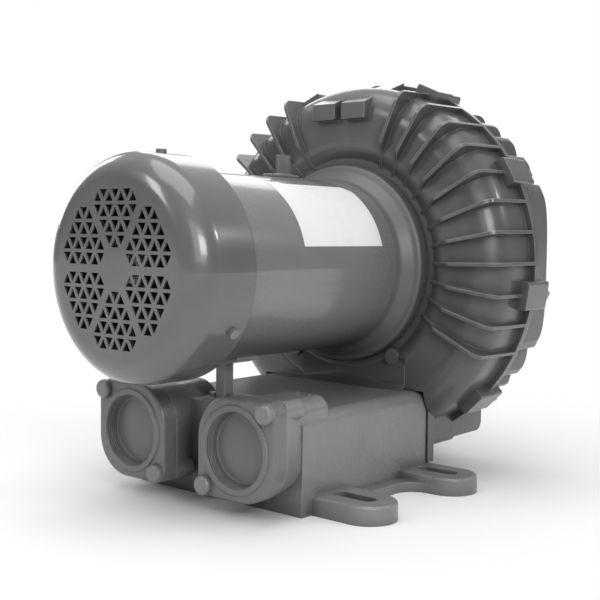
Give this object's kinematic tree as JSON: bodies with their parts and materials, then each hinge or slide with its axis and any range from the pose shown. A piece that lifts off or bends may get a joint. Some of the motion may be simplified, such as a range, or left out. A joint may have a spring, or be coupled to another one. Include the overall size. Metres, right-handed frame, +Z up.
{
  "type": "side channel blower",
  "caption": "Side channel blower: finned ring casing with a vaned impeller on a closed motor, perforated fan cover, and a silencer base with slotted feet and threaded ports.",
  "frame": {"origin": "on the floor at the centre of the four foot slots", "axes": "+Z up; +Y along the motor axis from the fan cover to the blower; +X to the right when looking along +Y; the ports face -Y"},
  "size_m": [0.4234, 0.473, 0.436],
  "materials": {
    "painted_casting": "satin grey enamel over a sand casting",
    "painted_iron": "satin grey enamel",
    "painted_steel": "semi-gloss grey enamel",
    "painted_fastener": "grey enamel over steel",
    "bright_steel": "machined",
    "core_steel": "varnished laminations",
    "winding_copper": "varnished copper wire",
    "cast_aluminium": "as cast, turned faces",
    "fan_plastic": "matt black",
    "plug_plastic": "satin grey",
    "sealing_rubber": "matt black",
    "silencing_foam": "open-cell foam"
  },
  "bodies": {
    "blower": {"fan_cover": "painted_steel", "fan_cover_screws": "painted_fastener", "fan_end_bell": "painted_iron", "motor_frame": "painted_steel", "drive_end_bell": "painted_iron", "motor_through_bolts": "painted_fastener", "motor_mounting_bolts": "bright_steel", "stator_core": "core_steel", "stator_windings": "winding_copper", "fan_end_bearing": "bright_steel", "drive_end_bearing": "bright_steel", "motor_lifting_lug": "painted_steel", "motor_support": "painted_steel", "support_screws": "painted_fastener", "conduit_box": "painted_steel", "conduit_gasket": "sealing_rubber", "conduit_lid": "painted_steel", "conduit_screws": "painted_fastener", "blower_housing": "painted_casting", "blower_cover": "painted_casting", "cover_bolts": "painted_fastener", "cover_washers": "painted_fastener", "shaft_seal": "sealing_rubber", "manifold": "painted_casting", "manifold_gasket": "sealing_rubber", "manifold_bolts": "painted_fastener", "inlet_flange": "painted_iron", "outlet_flange": "painted_iron", "inlet_flange_gasket": "sealing_rubber", "outlet_flange_gasket": "sealing_rubber", "flange_bolts": "painted_fastener", "inlet_silencer_foam": "silencing_foam", "outlet_silencer_foam": "silencing_foam"},
    "rotor": {"shaft": "bright_steel", "rotor_core": "core_steel", "cooling_fan": "fan_plastic", "fan_clip": "bright_steel", "impeller": "cast_aluminium", "impeller_key": "bright_steel", "impeller_washer": "bright_steel", "impeller_bolt": "bright_steel", "fan_bearing_inner": "bright_steel", "drive_bearing_inner": "bright_steel"},
    "inlet_plug": {"inlet_plug": "plug_plastic"},
    "outlet_plug": {"outlet_plug": "plug_plastic"}
  },
  "joints": [
    {"name": "rotor_spin", "type": "hinge", "parent": "blower", "child": "rotor", "pos_m": [0, 0, 0.23], "axis": [0, 1, 0], "continuous": true},
    {"name": "inlet_plug_pull", "type": "slide", "parent": "blower", "child": "inlet_plug", "axis": [0, -1, 0], "range_m": [0, 0.12]},
    {"name": "outlet_plug_pull", "type": "slide", "parent": "blower", "child": "outlet_plug", "axis": [0, -1, 0], "range_m": [0, 0.12]}
  ]
}
